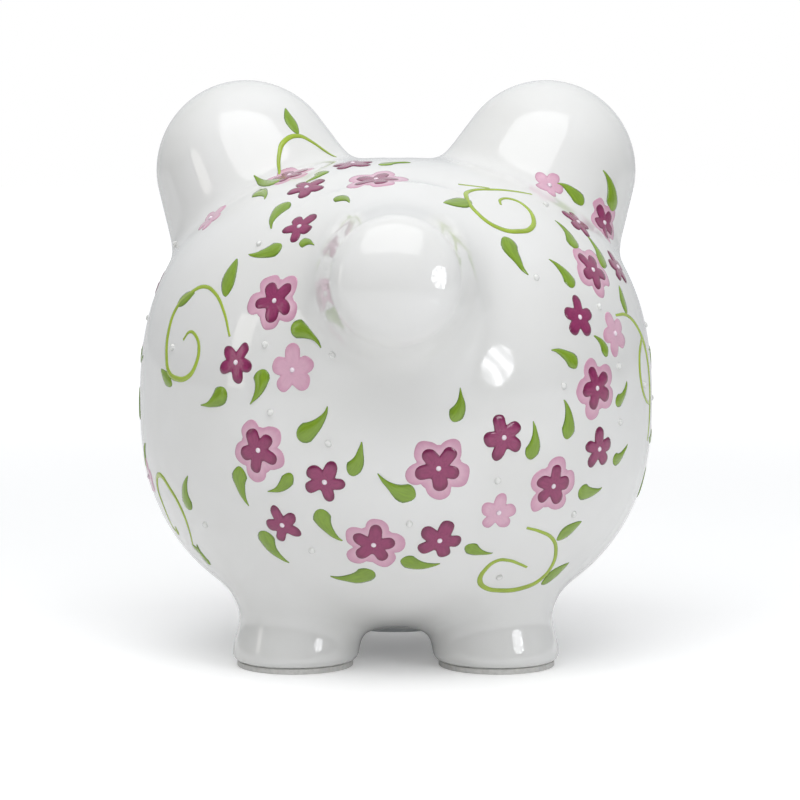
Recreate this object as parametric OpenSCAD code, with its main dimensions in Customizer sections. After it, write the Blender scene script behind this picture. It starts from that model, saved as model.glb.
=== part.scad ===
// A piggy bank: one hollow slip-cast pig with a coin slot between its ears, a curled
// tail pressed on at the back, a soft plug in the belly and a thin pad under each foot.
// Millimetres, +Z up. The pig looks along -Y, and +X is to the right of someone facing it.
// The origin is on the floor, under the middle of the whole bank.

/* [Body] */
// Width and length of the round body at its widest line
body_w = 190; // [158:1:228]
// Height of the body's top above its widest line
body_rise = 90; // [75:1:108]
// Depth of the belly below the body's widest line
body_drop = 83; // [70:1:100]
// Height of the belly above the floor
belly_gap = 10; // [9:0.5:12]
// Fullness of the body's outline, where 2 is a plain ellipse
body_fullness = 2.4; // [2.1:0.1:2.8]
// Thickness of the clay wall
wall = 4.5; // [3.7:0.1:5.4]

/* [Ears] */
// Diameter of the ball at the end of each ear
ear_d = 68; // [57:1:80]
// Distance between the middles of the two ear balls
ear_spacing = 113; // [96:1:130]
// Distance of the ears behind the body's middle
ear_back = 25; // [20:1:30]
// Height of an ear ball's middle above the body's surface there
ear_stand = 10; // [8:1:13]
// Slope of an ear's neck as it widens into the body, in degrees
ear_flare = 11; // [9:1:14]
// Distance between the roots of the two ears, inside the body
ear_root_spacing = 30; // [24:1:36]

/* [Snout] */
// Diameter of the snout just behind its rounded end
snout_d = 45; // [38:1:52]
// Length of the snout from the body's surface to its tip
snout_len = 34; // [29:1:41]
// Height of the snout's root above the body's widest line
snout_rise = 47; // [40:1:56]
// Upward tilt of the snout, in degrees
snout_tilt = 7; // [3:1:12]
// Slope of the snout's side as it widens into the body, in degrees
snout_flare = 14; // [11:1:17]
// Radius of the domed end of the snout
snout_dome_r = 40; // [34:1:48]
// Radius of the rounded edge between the snout's side and its end
snout_edge_r = 10; // [8:0.5:12]

/* [Legs and feet] */
// Distance between the middles of neighbouring legs
leg_spacing = 73; // [69:1:86]
// Diameter of a leg at its narrowest
leg_waist_d = 38; // [34:1:42]
// Diameter of a foot at its widest
foot_d = 45; // [43:1:50]
// Radius of the rounded lower edge of a foot
foot_edge_r = 2.5; // [2:0.5:3]
// Diameter of the pad under each foot
pad_d = 42; // [38:1:44]
// Thickness of the pad under each foot
pad_t = 2; // [1.6:0.1:2.4]

/* [Coin slot] */
// Width of the coin slot
slot_w = 5; // [4.2:0.1:6]
// Length of the coin slot
slot_len = 38; // [34:1:46]
// Distance of the slot's middle behind the body's middle
slot_back = 16; // [10:1:20]

/* [Belly hole and stopper] */
// Diameter of the hole in the belly
hole_d = 34; // [30:1:40]
// Width of the flat seat around the hole
seat_w = 3.5; // [3:0.5:4]
// Thickness of the stopper's flange
flange_t = 2; // [1.6:0.1:2.5]
// Length of the stopper's neck above its flange
neck_len = 6.6; // [5.5:0.1:8]
// Thickness of the stopper's soft wall
stopper_wall = 1.8; // [1.5:0.1:2.2]
// Diameter of the finger recess in the underside of the stopper
grip_d = 22; // [18:1:24]
// Width of the pull bar across the finger recess
bar_w = 5; // [4:0.5:6]

/* [Tail] */
// Diameter of the tail's rope where it leaves the body
tail_d = 9; // [7.5:0.5:9]
// Diameter of the tail's rope at its tip
tail_tip_d = 4.4; // [3.6:0.2:5.2]
// Radius at which the tail's curl starts
tail_curl_r = 14; // [13.5:0.5:17]
// Radius at which the tail's curl ends
tail_end_r = 5; // [4:0.5:5.5]
// Height of the tail's curl above the body's widest line
tail_rise = 6; // [-10:1:20]

/* [Hidden] */
$fn = 96;

GLAZE = [0.96, 0.96, 0.95];
PLUG = [0.86, 0.87, 0.88];
PAD = [0.82, 0.82, 0.80];

body_r = body_w / 2;
mid_z = belly_gap + body_drop;
body_steps = 36;
arc_steps = 8;
edge_steps = 5;

// Height on the body, above its widest line (up) or below it (down), at a distance r
// from the body's axis. A wall's thickness t leads to the inner surface.
function body_up(r, t = 0) = (body_rise - t) * height_share(r / (body_r - t));
function body_down(r, t = 0) = (body_drop - t) * height_share(r / (body_r - t));
function height_share(s) = pow(1 - pow(s, body_fullness), 1 / body_fullness);

// Radius of the body at a height h above its widest line
function radius_at(h) = body_r * height_share(h / body_rise);

// Outline of the body or of its inner surface, from the bottom of the axis to the top
function power(c) = pow(max(c, 0), 2 / body_fullness);
function body_outline(t) = [
    for (i = [0 : body_steps])
        let (a = -90 + 180 * i / body_steps)
        [
            (body_r - t) * power(cos(a)),
            a < 0 ? -(body_drop - t) * power(-sin(a)) : (body_rise - t) * power(sin(a))
        ]
];

// Points of an arc about c, with radius r, from angle a to angle b
function arc(c, r, a, b, steps = arc_steps) = [
    for (i = [0 : steps])
        let (g = a + (b - a) * i / steps)
        [c[0] + r * cos(g), c[1] + r * sin(g)]
];

// Ears: each is a ball on a cone that widens into the body, about the line from root to ball
ear_r = ear_d / 2;
ear_x = ear_spacing / 2;
ear_root_x = ear_root_spacing / 2;
ear_z = body_up(norm([ear_x, ear_back])) + ear_stand;
ear_axis = [ear_x - ear_root_x, ear_back, ear_z];
ear_reach = norm(ear_axis);
ear_steps = 16;

// Snout: its axis leaves the body's surface at the front, and its cone goes on inside
snout_root = [0, -radius_at(snout_rise), mid_z + snout_rise];
snout_sink = 30;
snout_least_edge_r = 1;

// Legs: the body's surface meets the outer side of a leg at this height
leg_r = leg_spacing / 2 * sqrt(2);
leg_join_z = mid_z - body_down(leg_r + leg_waist_d / 2);
leg_flare_r = 30;
leg_flare_drop = 9;
leg_flare_rise = 3;
foot_least_edge_r = 0.5;
foot_steps = 8;

// Stopper and its seat
hole_r = hole_d / 2;
seat_r = hole_r + seat_w;
seat_z = mid_z - body_down(seat_r);
seat_cut_margin = 0.5;
flange_inset = 0.5;
seat_clearance = 0.05;
neck_clearance = 0.4;
rib_clearance = 0.06;
rib_h = 1.2;
rib_pitch = 2.4;
rib_start = 1;
neck_lead = 1;
flange_edge = 0.6;
grip_depth = 3.4;
bar_t = 1.5;
bar_bite = 1;

// Tail: a tapering rope that curls once and a quarter against the body, and whose tip
// rounds off over the last stretch of its length
tail_turns = 1.25;
tail_start = -60;
tail_tip_from = 0.94;
tail_tip_to = 1.005;
tail_rings = 44;
tail_sides = 12;
tail_sink = 1.5;
tail_lift = 2.5;

// The whole bank, from the snout's tip to the back of the tail, is centred on the origin
snout_reach = -snout_root[1] + snout_len * cos(snout_tilt);
tail_reach = body_r - tail_sink + tail_d / 2;
body_y = (snout_reach - tail_reach) / 2;

// Body of the pig, or the hollow inside it when t is the wall's thickness
module body_form(t) {
    translate([0, 0, mid_z])
        rotate_extrude()
            polygon(body_outline(t));
}

module ear_form(side, t) {
    ball_r = ear_r - t;
    outline = concat(
        [[0, 0], [ball_r * cos(ear_flare) + (ear_reach + ball_r * sin(ear_flare)) * tan(ear_flare), 0]],
        arc([0, ear_reach], ball_r, ear_flare, 90, ear_steps)
    );
    mirror([side < 0 ? 1 : 0, 0, 0])
        translate([ear_root_x, 0, mid_z])
            rotate([0, acos(ear_axis[2] / ear_reach), atan2(ear_axis[1], ear_axis[0])])
                rotate_extrude()
                    polygon(outline);
}

module snout_form(t) {
    edge_r = max(snout_edge_r - t, snout_least_edge_r);
    dome_r = snout_dome_r - t;
    edge_c = snout_d / 2 - t - edge_r;
    dome_a = asin(edge_c / (dome_r - edge_r));
    edge_z = snout_len - t - dome_r + (dome_r - edge_r) * cos(dome_a);
    side_r = edge_c + edge_r * cos(snout_flare) + (edge_z + edge_r * sin(snout_flare)) * tan(snout_flare);
    outline = concat(
        [[0, -snout_sink], [side_r + snout_sink * tan(snout_flare), -snout_sink]],
        arc([edge_c, edge_z], edge_r, snout_flare, 90 - dome_a),
        [for (i = [1 : arc_steps]) let (g = dome_a * (1 - i / arc_steps))
            [dome_r * sin(g), snout_len - t - dome_r + dome_r * cos(g)]]
    );
    translate(snout_root)
        rotate([90 - snout_tilt, 0, 0])
            rotate_extrude()
                polygon(outline);
}

// A leg stands on its pad. Its foot swells above a rounded edge, its waist is narrow, and
// it widens again where it runs into the belly.
module leg_form(x, y, t) {
    sole_z = pad_t + t;
    edge_r = max(foot_edge_r - t, foot_least_edge_r);
    foot_r = foot_d / 2 - t;
    waist_r = leg_waist_d / 2 - t;
    swell_z = sole_z + edge_r;
    waist_z = leg_join_z - leg_flare_drop;
    end_a = asin((leg_flare_drop + leg_flare_rise) / (leg_flare_r + t));
    outline = concat(
        [[0, sole_z]],
        arc([foot_r - edge_r, swell_z], edge_r, -90, 0, edge_steps),
        [for (i = [1 : foot_steps - 1]) let (u = i / foot_steps)
            [foot_r + (waist_r - foot_r) * (1 - cos(180 * u)) / 2, swell_z + (waist_z - swell_z) * u]],
        arc([waist_r + leg_flare_r + t, waist_z], leg_flare_r + t, 180, 180 - end_a, edge_steps),
        [
            [waist_r + (leg_flare_r + t) * (1 - cos(end_a)), leg_join_z + leg_flare_drop + t],
            [0, leg_join_z + leg_flare_drop + t]
        ]
    );
    translate([x, y, 0])
        rotate_extrude()
            polygon(outline);
}

// The pig's outside, or its hollow when t is the wall's thickness
module pig_form(t) {
    body_form(t);
    for (side = [-1, 1]) ear_form(side, t);
    snout_form(t);
    for (x = [-1, 1], y = [-1, 1]) leg_form(x * leg_spacing / 2, y * leg_spacing / 2, t);
}

// A slot with round ends, cut straight down through the top of the body
module coin_slot_cut() {
    end_y = (slot_len - slot_w) / 2;
    translate([0, slot_back, mid_z + body_rise / 2])
        linear_extrude(body_rise)
            polygon(concat(
                arc([0, end_y], slot_w / 2, 0, 180),
                arc([0, -end_y], slot_w / 2, 180, 360)
            ));
}

module belly_hole_cut() {
    cylinder(h = mid_z / 2, r = hole_r);
    cylinder(h = seat_z, r = seat_r + seat_cut_margin);
}

module shell() {
    color(GLAZE)
        translate([0, body_y, 0])
            difference() {
                pig_form(0);
                pig_form(wall);
                coin_slot_cut();
                belly_hole_cut();
            }
}

// Middle of the tail's rope at a share u of its length, and the ring of points around it
function tail_angle(u) = 360 * tail_turns * u + tail_start;
function tail_point(u) =
    let (r = tail_curl_r + (tail_end_r - tail_curl_r) * u)
    [r * cos(tail_angle(u)), body_r - tail_sink + tail_lift * u, mid_z + tail_rise + r * sin(tail_angle(u))];
function tail_tip_share(u) = max(u - tail_tip_from, 0) / (tail_tip_to - tail_tip_from);
function tail_r(u) = (tail_d + (tail_tip_d - tail_d) * u) / 2 * sqrt(1 - pow(tail_tip_share(u), 2));
function tail_ring(u) = [
    for (k = [0 : tail_sides - 1])
        let (g = 360 * k / tail_sides, a = tail_angle(u))
        tail_point(u) + tail_r(u) * [cos(g) * cos(a), sin(g), cos(g) * sin(a)]
];

module tail_rope() {
    points = [for (j = [0 : tail_rings]) each tail_ring(j / tail_rings)];
    start_cap = [for (k = [0 : tail_sides - 1]) k];
    end_cap = [for (k = [tail_sides - 1 : -1 : 0]) tail_rings * tail_sides + k];
    sides = [
        for (j = [0 : tail_rings - 1], k = [0 : tail_sides - 1])
            let (a = j * tail_sides + k, b = j * tail_sides + (k + 1) % tail_sides)
            [a, a + tail_sides, b + tail_sides, b]
    ];
    polyhedron(points, concat([start_cap], sides, [end_cap]));
}

module tail() {
    color(GLAZE)
        translate([0, body_y, 0])
            difference() {
                tail_rope();
                body_form(0, $fn = 256);
            }
}

// Soft plug: a flange below the belly, and a hollow neck with two sealing ribs in the hole
module stopper() {
    flange_r = seat_r - flange_inset;
    neck_r = hole_r - neck_clearance;
    rib_r = hole_r - rib_clearance;
    flange_top = seat_z - seat_clearance;
    flange_low = flange_top - flange_t;
    neck_top = flange_top + neck_len;
    web_low = flange_low + grip_depth;
    grip_r = grip_d / 2;
    outline = [
        [0, web_low],
        [grip_r, web_low],
        [grip_r, flange_low],
        [flange_r - flange_edge, flange_low],
        [flange_r, flange_low + flange_edge],
        [flange_r, flange_top],
        [neck_r, flange_top],
        for (i = [0, 1], p = [0, 1, 2])
            [p == 1 ? rib_r : neck_r, flange_top + rib_start + i * rib_pitch + p * rib_h / 2],
        [neck_r, neck_top - neck_lead],
        [neck_r - neck_lead, neck_top],
        [neck_r - stopper_wall, neck_top],
        [neck_r - stopper_wall, web_low + stopper_wall],
        [0, web_low + stopper_wall]
    ];
    color(PLUG)
        translate([0, body_y, 0]) {
            rotate_extrude()
                polygon(outline);
            translate([-bar_w / 2, -grip_r - bar_bite, flange_low])
                cube([bar_w, 2 * (grip_r + bar_bite), bar_t]);
        }
}

module foot_pad(side, end) {
    color(PAD)
        translate([side * leg_spacing / 2, body_y + end * leg_spacing / 2, 0])
            cylinder(h = pad_t, d = pad_d);
}

shell();
tail();
stopper();
foot_pad(1, -1);  // foot_pad_front_left
foot_pad(-1, -1);  // foot_pad_front_right
foot_pad(1, 1);  // foot_pad_back_left
foot_pad(-1, 1);  // foot_pad_back_right
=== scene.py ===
"""Looks of a round ceramic piggy bank: one glazed casting with raised, hand-painted
flowers, leaves, scrolls and clear beads, a soft plug in the belly and a pad under each foot."""

import math

import bmesh
import bpy
import numpy as np
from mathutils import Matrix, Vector


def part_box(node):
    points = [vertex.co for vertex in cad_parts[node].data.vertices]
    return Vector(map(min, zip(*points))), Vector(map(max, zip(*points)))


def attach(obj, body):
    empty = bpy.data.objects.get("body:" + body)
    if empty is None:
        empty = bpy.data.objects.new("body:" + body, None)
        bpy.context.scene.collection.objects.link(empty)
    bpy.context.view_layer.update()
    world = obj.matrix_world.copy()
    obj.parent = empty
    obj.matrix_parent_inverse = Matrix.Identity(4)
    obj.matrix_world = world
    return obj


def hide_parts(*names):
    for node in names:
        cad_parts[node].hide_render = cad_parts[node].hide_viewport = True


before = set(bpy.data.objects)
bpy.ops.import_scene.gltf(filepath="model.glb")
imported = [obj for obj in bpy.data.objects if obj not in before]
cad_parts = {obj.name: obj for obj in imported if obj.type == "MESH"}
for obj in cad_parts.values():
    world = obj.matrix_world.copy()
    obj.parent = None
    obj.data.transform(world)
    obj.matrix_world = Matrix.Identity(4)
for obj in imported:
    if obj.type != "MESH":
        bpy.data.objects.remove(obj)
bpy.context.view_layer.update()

# ---------------------------------------------------------------- sizes, in millimetres
# The casting is worked out in the pig's own millimetres: x and y from the body's upright
# axis, z from the floor. The axis stands in the middle of the four foot pads.
MM = 0.001
PADS = [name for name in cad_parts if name.startswith("foot_pad")]


def pad_middle(name):
    low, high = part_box(name)
    return (low + high) / 2 / MM


AXIS = sum((pad_middle(name) for name in PADS), Vector()) / len(PADS)
PAD_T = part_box(PADS[0])[1].z / MM
LEG_X = abs(pad_middle(PADS[0]).x)

BODY_R, BODY_RISE, BODY_DROP, FULLNESS = 95, 90, 83, 2.4
MIDDLE_Z = 93
WALL = 4.5

EAR_R, EAR_X, EAR_BACK, EAR_Z = 34, 56.5, 25, 84.9
EAR_ROOT_X, EAR_FLARE = 15, 11

SNOUT_R, SNOUT_LEN, SNOUT_RISE, SNOUT_TILT = 22.5, 34, 47, 7
SNOUT_FLARE, SNOUT_DOME_R, SNOUT_EDGE_R, SNOUT_SINK = 14, 40, 10, 40

LEG_WAIST_R, LEG_WAIST_Z, LEG_SINK = 19, 21.3, 25
FOOT_R, FOOT_EDGE_R = 22.5, 2.5

SLOT_W, SLOT_LEN, SLOT_BACK, SLOT_LIP = 5, 38, 16, 1.2
HOLE_R, HOLE_LIP, SEAT_R, SEAT_Z = 17, 0.4, 21, 10.85

TAIL_CURL_R, TAIL_END_R, TAIL_R, TAIL_TIP_R = 14, 5, 4.5, 2.2
TAIL_TURNS, TAIL_START, TAIL_RISE = 1.25, -60, 6
TAIL_SINK, TAIL_LIFT = 1.5, 2.5
TAIL_LEN, TAIL_STEPS, TAIL_REACH, TAIL_BITE = 75, 160, 26, 15
FAR = 50

# The side of a leg leans a little, so the distance to it is this share of the level distance
LEG_SLOPE = 0.98

# How softly the wet clay runs together where two forms meet
SNOUT_SOFT, LEG_SOFT, EAR_SOFT, TAIL_SOFT = 20, 20, 9, 4


# ---------------------------------------------------------------- the casting as a distance field
def soft_union(a, b, soft):
    """Joins two distance fields with a smooth fillet."""
    near = np.maximum(soft - np.abs(a - b), 0) / soft
    return np.minimum(a, b) - near**3 * soft / 6


def round_meet(a, b, r):
    """Keeps what is inside both fields, with an edge of radius r."""
    return np.minimum(-r, np.maximum(a, b)) + np.hypot(np.maximum(r + a, 0), np.maximum(r + b, 0))


def body_field(p):
    """A superellipse turned about the upright axis."""
    r = np.hypot(p[:, 0], p[:, 1])
    h = p[:, 2] - MIDDLE_Z
    reach = np.where(h > 0, BODY_RISE, BODY_DROP)
    u, v = r / BODY_R, np.abs(h) / reach
    s = np.maximum((u**FULLNESS + v**FULLNESS) ** (1 / FULLNESS), 1e-3)
    slope = np.hypot((u / s) ** (FULLNESS - 1) / BODY_R, (v / s) ** (FULLNESS - 1) / reach)
    return (s - 1) / slope


def ear_field(p):
    """Two balls, each on a cone that widens into the body. The ears mirror each other."""
    q = np.column_stack((np.abs(p[:, 0]), p[:, 1], p[:, 2] - MIDDLE_Z))
    ball = np.array((EAR_X, EAR_BACK, EAR_Z))
    root = np.array((EAR_ROOT_X, 0, 0))
    line = root - ball
    length = np.linalg.norm(line)
    root_r = EAR_R + length * math.sin(math.radians(EAR_FLARE))
    along = (q - ball) @ line / length
    out = np.linalg.norm(q - ball - along[:, None] * line / length, axis=1)
    slope = (root_r - EAR_R) / length
    side = math.sqrt(1 - slope**2)
    on_cone = side * out - slope * along - EAR_R
    past_ball = along + out * slope / side < 0
    past_root = along + out * slope / side > length
    on_ball = np.hypot(out, along) - EAR_R
    on_root = np.hypot(out, along - length) - root_r
    return np.where(past_ball, on_ball, np.where(past_root, on_root, on_cone))


def snout_field(p):
    """A short cone with a domed, softly edged end, about an axis that tilts up."""
    root_y = BODY_R * (1 - (SNOUT_RISE / BODY_RISE) ** FULLNESS) ** (1 / FULLNESS)
    tilt = math.radians(SNOUT_TILT)
    flare = math.radians(SNOUT_FLARE)
    y = p[:, 1] + root_y
    z = p[:, 2] - MIDDLE_Z - SNOUT_RISE
    along = -y * math.cos(tilt) + z * math.sin(tilt)
    out = np.hypot(p[:, 0], y * math.sin(tilt) + z * math.cos(tilt))
    edge_at = SNOUT_R - SNOUT_EDGE_R
    edge_along = SNOUT_LEN - SNOUT_DOME_R + math.sqrt((SNOUT_DOME_R - SNOUT_EDGE_R) ** 2 - edge_at**2)
    side = (out - edge_at + (along - edge_along) * math.tan(flare)) * math.cos(flare) - SNOUT_EDGE_R
    dome = np.hypot(out, along - SNOUT_LEN + SNOUT_DOME_R) - SNOUT_DOME_R
    edge = np.hypot(out - edge_at, along - edge_along) - SNOUT_EDGE_R
    angle = np.arctan2(out - edge_at, along - edge_along)
    dome_ends = math.asin(edge_at / (SNOUT_DOME_R - SNOUT_EDGE_R))
    on_edge = (angle > dome_ends) & (angle < math.pi / 2 - flare)
    snout = np.where(on_edge, edge, np.maximum(side, dome))
    return np.maximum(snout, -along - SNOUT_SINK)


def leg_field(p):
    """Four stub legs: a swollen foot above a rounded sole, and a narrow waist."""
    out = np.hypot(np.abs(p[:, 0]) - LEG_X, np.abs(p[:, 1]) - LEG_X)
    swell_z = PAD_T + FOOT_EDGE_R
    u = np.clip((p[:, 2] - swell_z) / (LEG_WAIST_Z - swell_z), 0, 1)
    radius = FOOT_R + (LEG_WAIST_R - FOOT_R) * (1 - np.cos(np.pi * u)) / 2
    side = (out - radius) * LEG_SLOPE
    foot = round_meet(side, PAD_T - p[:, 2], FOOT_EDGE_R)
    return np.maximum(foot, p[:, 2] - LEG_WAIST_Z - LEG_SINK)


def tail_path(u):
    """The middle of the tail's rope and its radius, at shares u of its length."""
    turn = np.radians(360 * TAIL_TURNS * u + TAIL_START)
    r = TAIL_CURL_R + (TAIL_END_R - TAIL_CURL_R) * u
    y = BODY_R - TAIL_SINK + TAIL_LIFT * u
    z = MIDDLE_Z + TAIL_RISE + r * np.sin(turn)
    return np.column_stack((r * np.cos(turn), y, z)), TAIL_R + (TAIL_TIP_R - TAIL_R) * u


def tail_field(p):
    """A tapering rope of clay, curled once and a quarter against the back."""
    field = np.full(len(p), float(FAR))
    beside = np.abs(p[:, 0]) < TAIL_REACH
    level = np.abs(p[:, 2] - MIDDLE_Z - TAIL_RISE) < TAIL_REACH
    near = np.flatnonzero(beside & level & (p[:, 1] > BODY_R - TAIL_BITE))
    middles, radii = tail_path(np.linspace(0, 1 - TAIL_TIP_R / TAIL_LEN, TAIL_STEPS))
    batch = 4000
    for start in range(0, len(near), batch):
        some = near[start : start + batch]
        reach = np.linalg.norm(p[some][:, None] - middles[None], axis=2) - radii
        field[some] = reach.min(axis=1)
    return field


def outside_field(p):
    """The casting's whole outer skin, before anything is cut."""
    field = soft_union(body_field(p), snout_field(p), SNOUT_SOFT)
    field = soft_union(field, leg_field(p), LEG_SOFT)
    field = soft_union(field, ear_field(p), EAR_SOFT)
    return soft_union(field, tail_field(p), TAIL_SOFT)


def casting_field(p):
    """The hollow casting, with its coin slot, belly hole and the flat seat round the hole."""
    skin = outside_field(p)
    wall = np.maximum(skin, -skin - WALL)
    half = (SLOT_LEN - SLOT_W) / 2
    beyond = np.maximum(np.abs(p[:, 1] - SLOT_BACK) - half, 0)
    slot = np.where(p[:, 2] > MIDDLE_Z, np.hypot(p[:, 0], beyond) - SLOT_W / 2, FAR)
    out = np.hypot(p[:, 0], p[:, 1])
    hole = np.where(p[:, 2] < MIDDLE_Z, out - HOLE_R, FAR)
    seat = np.maximum(out - SEAT_R, p[:, 2] - SEAT_Z)
    wall = round_meet(wall, -slot, SLOT_LIP)
    wall = round_meet(wall, -hole, HOLE_LIP)
    return np.maximum(wall, -seat)


# ---------------------------------------------------------------- from the field to a mesh
def ticks(low, high, step, finer=()):
    """Grid lines from low to high, step apart, and closer together in the finer stretches."""
    lines, at = [low], low
    while at < high:
        near = [s for a, b, s in finer if a <= at < b]
        at += near[0] if near else step
        lines.append(at)
    return np.array(lines)


def field_net(field, xs, ys, zs):
    """A closed net of quads round the inside of a field: one corner in each grid cell that the
    surface crosses, and one quad across each grid edge that it crosses."""
    grid = np.stack(np.meshgrid(xs, ys, zs, indexing="ij"), axis=-1)
    values = field(grid.reshape(-1, 3)).reshape(grid.shape[:3])
    inside = values < 0
    corners = [(i, j, k) for i in (0, 1) for j in (0, 1) for k in (0, 1)]
    size = np.array(inside.shape) - 1

    def at(array, c):
        return array[c[0] : c[0] + size[0], c[1] : c[1] + size[1], c[2] : c[2] + size[2]]

    filled = sum(at(inside, c).astype(np.int8) for c in corners)
    crossed = (filled > 0) & (filled < 8)
    number = np.full(crossed.shape, -1)
    number[crossed] = np.arange(crossed.sum())
    total, count = np.zeros((crossed.sum(), 3)), np.zeros(crossed.sum())
    for a in corners:
        for axis in range(3):
            if a[axis]:
                continue
            b = tuple(c + (n == axis) for n, c in enumerate(a))
            va, vb = at(values, a)[crossed], at(values, b)[crossed]
            cut = (va < 0) != (vb < 0)
            share = (va[cut] / (va[cut] - vb[cut]))[:, None]
            pa, pb = at(grid, a)[crossed][cut], at(grid, b)[crossed][cut]
            total[cut] += pa + (pb - pa) * share
            count[cut] += 1
    points = total / count[:, None]

    quads = []
    for axis in range(3):
        one, two = [(1, 2), (2, 0), (0, 1)][axis]
        span = [slice(1, -1)] * 3
        span[axis] = slice(0, -1)
        ahead = list(span)
        ahead[axis] = slice(1, None)
        start, end = inside[tuple(span)], inside[tuple(ahead)]
        for flip, changed in ((False, start & ~end), (True, ~start & end)):
            where = np.argwhere(changed)
            where[:, [one, two]] += 1
            ring = []
            for d_one, d_two in ((0, 0), (-1, 0), (-1, -1), (0, -1)):
                cell = where.copy()
                cell[:, one] += d_one
                cell[:, two] += d_two
                ring.append(number[tuple(cell.T)])
            ring = np.column_stack(ring)
            quads.append(ring[:, ::-1] if flip else ring)
    return points, np.concatenate(quads)


def slope_of(field, p, h=0.02):
    """The field's gradient at points p."""
    columns = []
    for axis in range(3):
        step = np.zeros(3)
        step[axis] = h
        columns.append((field(p + step) - field(p - step)) / (2 * h))
    return np.column_stack(columns)


def settle(field, p, rounds=3, reach=1.0):
    """Moves points onto the field's surface."""
    for _ in range(rounds):
        slope = slope_of(field, p)
        steep = np.maximum((slope**2).sum(axis=1), 0.2)
        step = -(field(p) / steep)[:, None] * slope
        size = np.linalg.norm(step, axis=1)[:, None]
        p = p + step * np.minimum(1, reach / np.maximum(size, 1e-9))
    return p


def to_row(p):
    """From the pig's millimetres to the row's frame, in metres."""
    return (np.asarray(p) + np.array((AXIS.x, AXIS.y, 0))) * MM


def new_object(name, points, faces, material):
    mesh = bpy.data.meshes.new(name)
    mesh.from_pydata([tuple(v) for v in points], [], [tuple(map(int, f)) for f in faces])
    mesh.validate()
    mesh.polygons.foreach_set("use_smooth", [True] * len(mesh.polygons))
    obj = bpy.data.objects.new(name, mesh)
    bpy.context.scene.collection.objects.link(obj)
    mesh.materials.append(material)
    return obj


def refine(points, quads, wanted, cuts=1):
    """Splits the edges whose middles are wanted, and the faces beside them."""
    bm = bmesh.new()
    corners = [bm.verts.new(p) for p in points]
    for quad in quads:
        bm.faces.new([corners[i] for i in quad])
    bm.edges.ensure_lookup_table()
    middles = np.array([(e.verts[0].co + e.verts[1].co) / 2 for e in bm.edges])
    chosen = [bm.edges[i] for i in np.flatnonzero(wanted(middles))]
    bmesh.ops.subdivide_edges(bm, edges=chosen, cuts=cuts, use_grid_fill=True)
    bmesh.ops.triangulate(bm, faces=[f for f in bm.faces if len(f.verts) > 4])
    bm.verts.index_update()
    new_points = np.array([v.co for v in bm.verts])
    new_faces = [[v.index for v in f.verts] for f in bm.faces]
    bm.free()
    return new_points, new_faces


def near_cuts(p):
    """Points on the lips of the coin slot and of the belly hole."""
    margin = 2
    half = (SLOT_LEN - SLOT_W) / 2
    beyond = np.maximum(np.abs(p[:, 1] - SLOT_BACK) - half, 0)
    slot = np.abs(np.hypot(p[:, 0], beyond) - SLOT_W / 2) < SLOT_LIP + 1
    out = np.hypot(p[:, 0], p[:, 1])
    hole = (out > HOLE_R - margin) & (out < SEAT_R + margin)
    return (slot & (p[:, 2] > MIDDLE_Z)) | (hole & (p[:, 2] < MIDDLE_Z))


def make_casting(material):
    """The glazed casting: body, ears, snout, legs and tail in one smooth skin."""
    step = 2.5
    xs = ticks(-BODY_R - 3, BODY_R + 3, step, [(-4.5, 4.5, 1.0)])
    ys = ticks(-125, BODY_R + 9, step)
    zs = ticks(PAD_T - 1.5, MIDDLE_Z + EAR_Z + EAR_R + 3, step, [(0, 13, 1.1), (13, 30, 1.8)])
    points, faces = field_net(casting_field, xs, ys, zs)
    points = settle(casting_field, points)
    points, faces = refine(points, faces, near_cuts)
    points = settle(casting_field, points)
    obj = new_object("glazed_casting", to_row(points), faces, material)
    normals = slope_of(casting_field, points)
    normals /= np.maximum(np.linalg.norm(normals, axis=1), 1e-9)[:, None]
    obj.data.normals_split_custom_set_from_vertices([tuple(n) for n in normals])
    return obj


# ---------------------------------------------------------------- node helpers
def socket(node, name, out=False):
    for s in node.outputs if out else node.inputs:
        if s.name == name and s.enabled:
            return s
    raise KeyError(name)


def add(tree, kind, place=(0, 0), **values):
    node = tree.nodes.new(kind)
    node.location = place
    for key, value in values.items():
        setattr(node, key, value)
    return node


def new_material(name):
    material = bpy.data.materials.new(name)
    material.use_nodes = True
    tree = material.node_tree
    tree.nodes.clear()
    out = add(tree, "ShaderNodeOutputMaterial", (600, 0))
    shader = add(tree, "ShaderNodeBsdfPrincipled", (300, 0))
    tree.links.new(shader.outputs[0], out.inputs[0])
    return material, tree, shader


def colour(*rgb):
    """A colour given as 0 to 255 sRGB, made linear."""
    linear = [c / 255 / 12.92 if c <= 10 else ((c / 255 + 0.055) / 1.055) ** 2.4 for c in rgb]
    return (*linear, 1)


def noise(tree, scale, detail=2.0, place=(0, 0)):
    """Noise on the piece's own metres."""
    at = add(tree, "ShaderNodeTexCoord", (place[0] - 200, place[1]))
    node = add(tree, "ShaderNodeTexNoise", place)
    node.inputs["Scale"].default_value = scale
    node.inputs["Detail"].default_value = detail
    tree.links.new(at.outputs["Object"], node.inputs["Vector"])
    return node.outputs["Fac"]


def ramp(tree, value, stops, place=(0, 0)):
    """A colour ramp with the given (position, colour) stops."""
    node = add(tree, "ShaderNodeValToRGB", place)
    band = node.color_ramp
    while len(band.elements) < len(stops):
        band.elements.new(0.5)
    for element, (position, rgba) in zip(band.elements, stops):
        element.position = position
        element.color = rgba
    tree.links.new(value, node.inputs[0])
    return node.outputs[0]


def bump(tree, height, shader, strength, distance, place=(0, -300)):
    node = add(tree, "ShaderNodeBump", place)
    node.inputs["Strength"].default_value = strength
    node.inputs["Distance"].default_value = distance
    tree.links.new(height, node.inputs["Height"])
    tree.links.new(node.outputs[0], shader.inputs["Normal"])


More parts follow.
